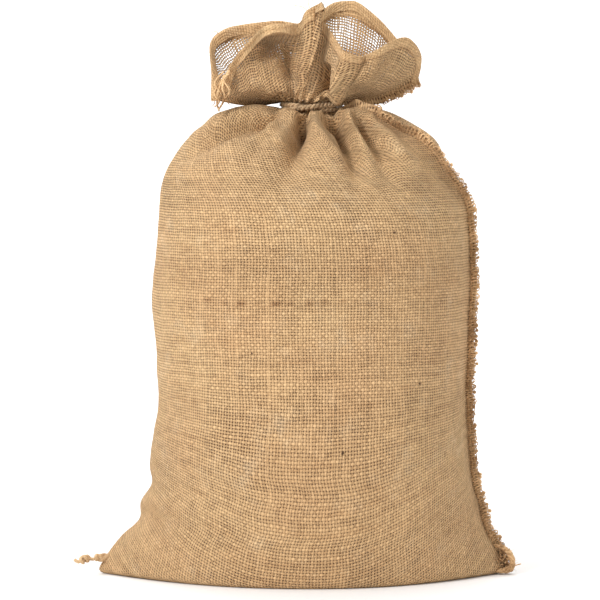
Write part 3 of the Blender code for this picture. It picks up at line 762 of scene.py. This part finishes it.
    # Painted shade: darker towards the bottom, left of x≈0.04–0.10, all round the body
    shade_band += 0.10 * (1 - ramp(points[:, 2], 0.07, 0.17)) * (1 - ramp(points[:, 0], 0.04, 0.10))
    painted_shade_and_stitches = (crease_shadow_line + shade_band).reshape(count, wide)
    stitched = (np.arange(count) % 3 > 0) & (np.arange(count) < tie_row - 2)
    painted_shade_and_stitches[stitched, -FLANGE_COLUMNS - 2 : -FLANGE_COLUMNS] += 0.20
    painted_shade_and_stitches[stitched, FLANGE_COLUMNS : FLANGE_COLUMNS + 2] += 0.20
    # Painted shadow: a dark line along the hem's lower edge, under its fold
    painted_shade_and_stitches[hem_start - 1 : hem_start + 1] += 0.45
    add_field(made, "painted_shade_and_stitches", np.clip(painted_shade_and_stitches, 0, 1).ravel())
    return made, seam, seam_out, side, width


def build_neck_gathers(place, look):
    """The folded cloth that fills the tied neck, seen from over the open mouth."""
    rings, count = 14, PLEATS * 10
    points, faces, uvs = [], [], []
    for ring in range(rings + 1):
        part = ring / rings
        for i in range(count):
            turn = 2 * math.pi * i / count
            wave = math.cos(PLEATS * turn + 0.8 * math.sin(3 * turn)) * math.sin(math.pi * min(part * 1.15, 1.0))
            reach = 0.0215 * part
            rise = 0.0020 + 0.0085 * part**1.5 + 0.0026 * wave
            twist = turn + 0.5 * (1 - part)
            points.append((
                place[0] + TIE_X + reach * math.cos(twist),
                place[1] + reach * math.sin(twist),
                TIE_HEIGHT + rise,
            ))
    for ring in range(rings):
        for i in range(count):
            j = (i + 1) % count
            faces.append((ring * count + i, ring * count + j, (ring + 1) * count + j, (ring + 1) * count + i))
            start = math.floor(i / 10) * 0.0297
            for r, k in ((ring, i), (ring, i + 1), (ring + 1, i + 1), (ring + 1, i)):
                wide = 2 * math.pi * 0.0215 * r / rings / count
                uvs.append((start + (k - math.floor(i / 10) * 10) * wide, 0.0215 * r / rings))
    made = new_mesh("neck_gathers", points, faces, uvs, look)
    for name in ("sheer", "dense", "painted_shade_and_stitches"):
        add_field(made, name, np.zeros(len(points)))
    return finish_piece(made, "burlap")


def hair(start, direction, length, radius, droop, swirl):
    """One loose fibre: a short curved path that sags, and its tapering radii."""
    direction = np.array(direction) / np.linalg.norm(direction)
    path, spot = [np.array(start)], np.array(start)
    turn = np.array([random.gauss(0, swirl), random.gauss(0, swirl), random.gauss(0, swirl)])
    steps = 5
    for step in range(steps):
        direction = direction + turn + np.array([0, 0, -droop])
        direction = direction / np.linalg.norm(direction)
        spot = spot + direction * length / steps
        spot[2] = max(spot[2], 0.0008)
        path.append(spot.copy())
    radii = [radius * (1 - 0.14 * k) for k in range(steps + 1)]
    return path, radii


def build_fringe(name, edges, hairs, look, node):
    """The overlocked edge: close turns of thread over the allowance, with lumps, loops and frayed ends."""
    seam, out, side, width = edges
    steps = np.linalg.norm(np.diff(seam, axis=0), axis=1)
    along = np.concatenate(([0.0], np.cumsum(steps)))
    length = along[-1]

    def at(values, where):
        values = values if values.ndim == 2 else values[:, None]
        return np.stack([np.interp(where, along, values[:, i]) for i in range(values.shape[1])], axis=1)

    def lay(where, outward, deep):
        """Points of a path from places along the seam and how far out and across each one lies."""
        where = np.clip(where, 0, length)
        path = at(seam, where) + at(out, where) * outward[:, None] + at(side, where) * deep[:, None]
        path[:, 2] = np.maximum(path[:, 2], 0.0010)
        return path

    paths = []
    for pitch, thick, spread, tilt in ((0.0029, 0.00050, 0.0010, 1.0), (0.0051, 0.00042, 0.0018, -1.0)):
        turns = int(length / pitch)
        places = np.linspace(0, length, turns * 10 + 1)
        phase = np.arange(len(places)) / 10 * 2 * math.pi
        reach = np.interp(places, places[::10], [random.uniform(-0.2, 1.0) * spread for _ in places[::10]])
        slip = np.interp(places, places[::10], [random.uniform(-0.4, 0.4) * pitch for _ in places[::10]])
        where = np.clip(places + slip + tilt * 0.0016 * np.sin(phase), 0, length)
        outward = 0.0010 + (at(width, where)[:, 0] + reach) * (0.5 - 0.5 * np.cos(phase))
        path = lay(where, outward, (0.0015 + 0.3 * reach) * np.sin(phase))
        paths.append((path, [thick * random.uniform(0.8, 1.2) for _ in places]))

    spot = 0.004
    while spot < length - 0.003:
        edge = at(width, np.array([spot]))[0, 0]
        kind = random.random()
        if kind < 0.45:
            turn = np.linspace(0, 5.2 * math.pi, 34)
            ball = random.uniform(0.0007, 0.0013)
            lump = ball * (0.6 + 0.5 * np.sin(turn * 0.37 + random.random() * 6))
            start = spot + lump * np.cos(turn)
            outward = edge + random.uniform(0.0004, 0.0026) + lump * np.sin(turn)
            path = lay(start, outward, ball * np.sin(turn * 0.61) + random.uniform(-0.001, 0.001))
            paths.append((path, [0.00062] * len(turn)))
        elif kind < 0.75:
            turn = np.linspace(-0.6, math.pi + 0.6, 14)
            size = random.uniform(0.0014, 0.0034)
            tilt = random.uniform(-0.0008, 0.0008)
            start = spot + size * 0.75 * np.cos(turn)
            outward = edge - 0.0006 + size * 1.15 * np.maximum(np.sin(turn), -0.3)
            path = lay(start, outward, tilt + 0.0008 * np.cos(turn))
            paths.append((path, [0.00048] * len(turn)))
        spot += random.uniform(0.0022, 0.0095)

    for _ in range(hairs):
        where = np.array([random.uniform(0, length)])
        base, away, across = at(seam, where)[0], at(out, where)[0], at(side, where)[0]
        lift = at(width, where)[0, 0] * random.uniform(0.4, 1.0)
        lean = away + across * random.gauss(0, 0.7) + np.array([0, 0, random.gauss(-0.1, 0.7)])
        start = base + away * lift + across * random.uniform(-0.002, 0.002)
        thick = random.choice((0.00012, 0.00018, 0.00034))
        paths.append(hair(start, lean, random.uniform(0.002, 0.0055), thick, 0.08, 0.35))
    points, faces = tube_mesh(paths, 5)
    made = new_mesh(name, points, faces, look=look)
    return finish_piece(made, "frayed_jute", node)


def tie_centre(angle):
    """The middle of the twine, which goes round the neck twice and crosses itself once in front."""
    crossing = math.radians(262)
    from_cross = (angle / 2 - crossing / 2 + math.pi / 2) % math.pi - math.pi / 2
    rise = 0.5 * (TWINE + 0.0003) * np.tanh(np.sin(angle / 2 - crossing / 2) * 3.2) / math.tanh(3.2)
    over = np.exp(-((from_cross / 0.24) ** 2)) * (np.cos(angle / 2 - crossing / 2) > 0)
    radius = NECK_RADIUS + 0.0023 + TWINE / 2 + over * (TWINE - 0.0004)
    return np.stack([TIE_X + radius * np.cos(angle), radius * np.sin(angle), TIE_HEIGHT + rise], axis=1)


def twisted(path, thickness, pitch, plies, closed):
    """The paths of a laid twine's plies, wound round its middle."""
    step = np.linalg.norm(np.diff(path, axis=0, append=path[:1] if closed else path[-1:]), axis=1)
    along = np.concatenate(([0.0], np.cumsum(step)[:-1]))
    total = step.sum() if closed else along[-1]
    twists = max(1, round(total / pitch))
    ahead = np.roll(path, -1, axis=0) - np.roll(path, 1, axis=0) if closed else np.gradient(path, axis=0)
    ahead /= np.linalg.norm(ahead, axis=1, keepdims=True)
    upward = np.tile(np.array([0.0, 0.0, 1.0]), (len(path), 1))
    across = np.cross(ahead, upward)
    across /= np.maximum(np.linalg.norm(across, axis=1, keepdims=True), 1e-9)
    upward = np.cross(across, ahead)
    strands = []
    for ply in range(plies):
        phase = 2 * math.pi * (along / total * twists + ply / plies)
        offset = np.cos(phase)[:, None] * across + np.sin(phase)[:, None] * upward
        strand = path + offset * thickness * 0.25
        strands.append(np.concatenate([strand, strand[:1]]) if closed else strand)
    return strands


def build_twine(place):
    """Two-ply jute twine round the neck, its loose fibres, and the knot behind."""
    look = yarn_material("jute_twine", (0.15, 0.080, 0.036), (0.80, 0.57, 0.34), 1100.0, 0.3)
    shift = np.array([place[0], place[1], 0])
    path = tie_centre(np.linspace(0, 4 * math.pi, 900, endpoint=False)) + shift
    paths = [(strand, [TWINE * 0.275] * len(strand)) for strand in twisted(path, TWINE, 0.0078, 2, True)]
    for _ in range(150):
        spot = path[random.randrange(len(path))]
        away = spot - np.array([TIE_X + place[0], place[1], spot[2]])
        away = away / np.linalg.norm(away)
        lean = away + np.array([random.gauss(0, 0.7), random.gauss(0, 0.7), random.gauss(0, 0.7)])
        paths.append(hair(spot + away * TWINE * 0.4, lean, random.uniform(0.002, 0.006), 0.00011, 0.05, 0.3))
    points, faces = tube_mesh(paths, 7)
    finish_piece(new_mesh("twine", points, faces, look=look), "jute_twine", "neck_tie")

    low, high = (np.array(corner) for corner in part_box("tie_knot"))
    middle, half = (low + high) / 2, (high - low) / 2
    turn = np.linspace(0, 2 * math.pi, 160)
    trefoil = np.stack(
        [
            (np.sin(turn) + 2 * np.sin(2 * turn)) / 3,
            np.sin(3 * turn) * 0.55,
            (np.cos(turn) - 2 * np.cos(2 * turn)) / 3,
        ],
        axis=1,
    )
    path = middle + trefoil * (half - TWINE * 0.22) * np.array([1.0, 1.0, 1.0])
    paths = [(strand, [TWINE * 0.22] * len(strand)) for strand in twisted(path, TWINE * 0.8, 0.0070, 2, False)]
    points, faces = tube_mesh(paths, 7)
    finish_piece(new_mesh("twine_knot", points, faces, look=look), "jute_twine", "tie_knot")


# The knotted thread at the left corner: x, y, height
TAIL = (
    (-0.1812, -0.0020, 0.0130),
    (-0.1850, -0.0028, 0.0142),
    (-0.1885, -0.0036, 0.0146),
    (-0.1920, -0.0044, 0.0132),
    (-0.1960, -0.0052, 0.0134),
    (-0.1995, -0.0060, 0.0140),
    (-0.2030, -0.0066, 0.0118),
    (-0.2065, -0.0074, 0.0112),
    (-0.2095, -0.0078, 0.0132),
)
TAIL_DIAMETER = 0.0030
EAR_START = (-0.1740, -0.0010, 0.0130)  # the cloth's twisted corner, from which the thread comes out
EAR_END = (-0.1875, -0.0034, 0.0150)

# The sewn corner's curled end: x, y, height, radius
CURL = (
    (0.1650, -0.0020, 0.0250, 0.0016),
    (0.1715, -0.0030, 0.0235, 0.0026),
    (0.1780, -0.0040, 0.0185, 0.0030),
    (0.1812, -0.0045, 0.0115, 0.0028),
    (0.1802, -0.0055, 0.0050, 0.0028),
    (0.1745, -0.0065, 0.0034, 0.0028),
    (0.1675, -0.0070, 0.0030, 0.0018),
)

# Dark flecks of bark spun into the yarns: x, height
FLECKS = (
    (0.0745, 0.309),
    (-0.0480, 0.205),
    (0.0310, 0.118),
    (0.0980, 0.176),
)


def build_corner_thread(place):
    """The side seam thread's end at the left corner, with the two knots that stop it."""
    look = yarn_material("seam_thread", (0.36, 0.20, 0.09), (0.78, 0.56, 0.33), 1000.0)
    path = smooth(TAIL, np.linspace(0, len(TAIL) - 1, 60))
    path[:, :2] += place[:2]
    radii = [TAIL_DIAMETER / 2 * (1 + 0.08 * math.sin(k * 1.9)) for k in range(60)]
    points, faces = tube_mesh([(path, radii)], 8)
    thread = finish_piece(new_mesh("corner_thread", points, faces, look=look), "seam_thread", "corner_tail")
    knots = []
    for start, end, turns, wide in ((5, 21, 1.7, 0.0026), (31, 47, 2.2, 0.0028)):
        share = np.linspace(0, 1, 60)
        middle = start + (end - start) * (share + 0.16 * np.sin(2 * math.pi * 2 * share))
        spine = np.stack([np.interp(middle, np.arange(60), path[:, i]) for i in range(3)], 1)
        phase = 2 * math.pi * turns * share
        bulge = wide * (0.45 + 0.55 * np.sin(math.pi * share))
        coil = spine + np.stack([0.0010 * np.sin(phase * 2), bulge * np.cos(phase), bulge * np.sin(phase)], axis=1)
        knots.append((coil, [0.0016 * (0.9 + 0.2 * random.random()) for _ in share]))
    for swing in (0.0, 2.1, 4.2):
        share = np.linspace(0, 1, 24)
        ear = np.array(EAR_START) + (np.array(EAR_END) - np.array(EAR_START)) * share[:, None]
        ear[:, :2] += place[:2]
        ear[:, 1] += 0.0026 * np.cos(5 * share + swing) * (1 - 0.5 * share)
        ear[:, 2] += 0.0026 * np.sin(5 * share + swing) * (1 - 0.5 * share)
        knots.append((ear, [0.0030 - 0.0012 * part for part in share]))
    for _ in range(40):
        spot = path[random.randrange(4, 60)]
        lean = (random.gauss(-0.5, 0.7), random.gauss(0, 0.7), random.gauss(0.1, 0.7))
        knots.append(hair(spot, lean, random.uniform(0.003, 0.007), 0.00014, 0.05, 0.3))
    points, faces = tube_mesh(knots, 7)
    tied = finish_piece(new_mesh("corner_thread_knots", points, faces, look=look), "seam_thread")


# Loose yarns: points of each one's path (x, y, height) and its thickness
LOOSE = (
    (((0.001, -0.032, 0.497), (-0.005, -0.036, 0.503), (-0.013, -0.036, 0.505), (-0.019, -0.034, 0.508)), 0.0004),
    (((0.002, -0.032, 0.499), (-0.001, -0.034, 0.507), (0.001, -0.034, 0.511), (0.004, -0.032, 0.508)), 0.0004),
    (((-0.070, -0.034, 0.448), (-0.076, -0.036, 0.434), (-0.074, -0.035, 0.424), (-0.080, -0.034, 0.413)), 0.0015),
    (((-0.074, -0.032, 0.444), (-0.079, -0.035, 0.432), (-0.081, -0.033, 0.421), (-0.079, -0.033, 0.412)), 0.0014),
    (((-0.077, -0.030, 0.440), (-0.083, -0.033, 0.428), (-0.079, -0.035, 0.421), (-0.083, -0.033, 0.416)), 0.0013),
    (((-0.069, -0.034, 0.446), (-0.075, -0.037, 0.440), (-0.070, -0.037, 0.430), (-0.076, -0.035, 0.421)), 0.0010),
    (((-0.072, -0.033, 0.437), (-0.069, -0.036, 0.430), (-0.073, -0.037, 0.424), (-0.070, -0.035, 0.418)), 0.0008),
    (((-0.075, -0.032, 0.447), (-0.083, -0.034, 0.437), (-0.077, -0.036, 0.427), (-0.085, -0.033, 0.421)), 0.0008),
    (((-0.080, -0.027, 0.434), (-0.085, -0.030, 0.427), (-0.083, -0.031, 0.420), (-0.087, -0.029, 0.415)), 0.0006),
    (((-0.078, 0.010, 0.478), (-0.083, 0.008, 0.483), (-0.087, 0.006, 0.481)), 0.0004),
    (((0.175, -0.002, 0.006), (0.182, -0.004, 0.007), (0.189, -0.006, 0.009)), 0.0008),
)


def build_loose_yarns(place, grid, look):
    """Stray yarns where they show, and a fine fuzz of short fibres all over the cloth."""
    paths = []
    for route, thick in LOOSE:
        path = smooth(route, np.linspace(0, len(route) - 1, 16))
        path[:, :2] += place[:2]
        paths.append((path, [thick * (1 - 0.03 * k) for k in range(16)]))
    route = smooth(CURL, np.linspace(0, len(CURL) - 1, 40))
    route[:, :2] += place[:2]
    middle = route[:, :3].mean(axis=0)
    for swing in np.linspace(0, 2 * math.pi, 6)[:-1]:
        turn = np.linspace(0, 11, 40) + swing
        away = unit(route[:, :3] - middle)
        wound = route[:, :3] + 0.62 * route[:, 3:] * (
            np.sin(turn)[:, None] * np.array([0, 1, 0]) + np.cos(turn)[:, None] * away
        )
        radii = 0.44 * route[:, 3] * (1 + 0.12 * np.sin(turn * 3.1))
        wound[:, 2] = np.maximum(wound[:, 2], radii)
        paths.append((wound, radii))
    for _ in range(16):
        knot = middle + np.array([random.gauss(-0.001, 0.0028), random.gauss(0.001, 0.0010), random.gauss(0, 0.0030)])
        paths.append(hair(knot, (random.gauss(0, 1), random.gauss(0, 0.3), random.gauss(0, 1)), 0.008, 0.0010, 0.0, 0.9))
    for _ in range(60):
        spot = route[random.randrange(40), :3]
        lean = (random.gauss(0.3, 0.7), random.gauss(-0.2, 0.7), random.gauss(0.2, 0.7))
        paths.append(hair(spot, lean, random.uniform(0.004, 0.009), 0.00016, 0.05, 0.3))
    out = normals(grid)
    rows, columns = grid.shape[:2]
    for _ in range(1500):
        row = random.randrange(4, rows) if random.random() < 0.6 else rows - 1 - int(random.random() ** 2 * 40)
        column = random.randrange(columns)
        spot, away = grid[row, column], out[row, column]
        lean = away * 0.5 + np.array([random.gauss(0, 0.6), random.gauss(0, 0.6), random.gauss(0, 0.6)])
        paths.append(hair(spot, lean, random.uniform(0.002, 0.006), 0.00009, 0.02, 0.3))
    points, faces = tube_mesh(paths, 4)
    finish_piece(new_mesh("loose_fibres", points, faces, look=look), "frayed_jute")

    bark = yarn_material("bark_flecks", (0.045, 0.022, 0.010), (0.12, 0.06, 0.03), 1500.0)
    front = grid[grid[:, :, 1] < -0.02]
    flecks = []
    for x, height in FLECKS:
        spot = front[np.argmin(np.hypot(front[:, 0] - x, front[:, 2] - height))]
        run = np.array([random.uniform(-0.5, 1.0), 0, random.uniform(-1.0, 0.4)]) * 0.0016
        flecks.append((np.array([spot - run, spot + (0, -0.0007, 0), spot + run]), (0.0003, 0.0010, 0.0003)))
    points, faces = tube_mesh(flecks, 6)
    finish_piece(new_mesh("bark_flecks", points, faces, look=bark), "frayed_jute")


def add_field(made, name, values):
    layer = made.data.attributes.new(name, "FLOAT", "POINT")
    layer.data.foreach_set("value", np.asarray(values, dtype=np.float32))


def main():
    random.seed(7)
    burlap = burlap_material()
    grid, flat_high, tie_row = make_surface()
    low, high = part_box("sack")
    place = np.array([low[0] - grid[:, :, 0].min(), (low[1] + high[1]) / 2, 0])
    grid = grid + place
    made, seam, seam_out, side, width = build_cloth(grid, flat_high, tie_row, burlap)
    finish_piece(made, "burlap", "sack")
    gathers = build_neck_gathers(place, burlap)
    fringe_look = yarn_material("frayed_jute", (0.30, 0.15, 0.060), (1.0, 0.68, 0.37), 520.0)
    body = slice(4, tie_row - 18)
    mouth = slice(tie_row + 36, len(seam) - HEM_ROWS)
    edges = (seam, seam_out, side, width)
    build_fringe("seam_fringe", [part[body] for part in edges], 700, fringe_look, "seam_edge")
    build_fringe("mouth_seam_fringe", [part[mouth] for part in edges], 160, fringe_look, "mouth_seam_edge")
    build_twine(place)
    build_corner_thread(place)
    build_loose_yarns(place, grid, fringe_look)
    build_stage()
    set_camera()


def build_stage():
    """A round white floor that curves up at its edge, soft light from the left and a white surround."""
    white = bpy.data.materials.new("floor_white")
    white.use_nodes = True
    white.node_tree.nodes["Principled BSDF"].inputs["Base Color"].default_value = (0.93, 0.93, 0.93, 1)
    white.node_tree.nodes["Principled BSDF"].inputs["Roughness"].default_value = 0.9
    profile = [(2.0, 0.0), (STAGE_FLAT, 0.0)]
    for turn in np.linspace(0.1, math.pi / 2, 12):
        profile.append((STAGE_FLAT + STAGE_BEND * math.sin(turn), STAGE_BEND * (1 - math.cos(turn))))
    angles = np.linspace(0, 2 * math.pi, STAGE_SIDES, endpoint=False)
    points = [(r * math.cos(a), r * math.sin(a), z - 0.0006) for r, z in profile for a in angles]
    faces = [tuple(range(STAGE_SIDES))]
    for ring in range(len(profile) - 1):
        for i in range(STAGE_SIDES):
            a, b = ring * STAGE_SIDES + i, ring * STAGE_SIDES + (i + 1) % STAGE_SIDES
            faces.append((a, a + STAGE_SIDES, b + STAGE_SIDES, b))
    floor = new_mesh("floor", points, faces, look=white)
    world = bpy.data.worlds.new("surround")
    bpy.context.scene.world = world
    world.use_nodes = True
    world.node_tree.nodes["Background"].inputs[0].default_value = (1.0, 1.0, 1.0, 1)
    world.node_tree.nodes["Background"].inputs[1].default_value = 0.42
    for name, spot, aim, size, power, colour in (
        ("key_light", (-1.7, -1.7, 1.8), (0, 0, 0.25), 0.7, 52.0, (1.0, 1.0, 1.0)),
        ("fill_light", (2.2, -1.8, 1.0), (0, 0, 0.25), 1.2, 10.0, (1.0, 0.91, 0.80)),
        ("top_light", (0.0, 0.5, 3.0), (0, 0, 0.25), 3.0, 62.0, (1.0, 1.0, 1.0)),
        ("backdrop_light", (0.0, 2.8, 3.4), (0, 5.0, 0.4), 3.0, 150.0, (1.0, 1.0, 1.0)),
    ):
        light = bpy.data.lights.new(name, "AREA")
        light.size = size
        light.energy = power
        light.color = colour
        lamp = bpy.data.objects.new(name, light)
        lamp.location = spot
        lamp.rotation_euler = (Vector(aim) - Vector(spot)).to_track_quat("-Z", "Y").to_euler()
        bpy.context.scene.collection.objects.link(lamp)


def set_camera():
    camera = bpy.data.cameras.new("camera")
    made = bpy.data.objects.new("camera", camera)
    made.location = (0.0, -3.0, 0.42)
    aim = Vector((0.0, 0.0, 0.2445)) - Vector(made.location)
    made.rotation_euler = aim.to_track_quat("-Z", "Y").to_euler()
    camera.sensor_width = 36
    camera.lens = 18 / (0.267 / math.hypot(3.0, 0.17))
    camera.shift_x = -0.0117
    bpy.context.scene.collection.objects.link(made)
    bpy.context.scene.camera = made
    bpy.context.scene.view_settings.view_transform = "Standard"


main()
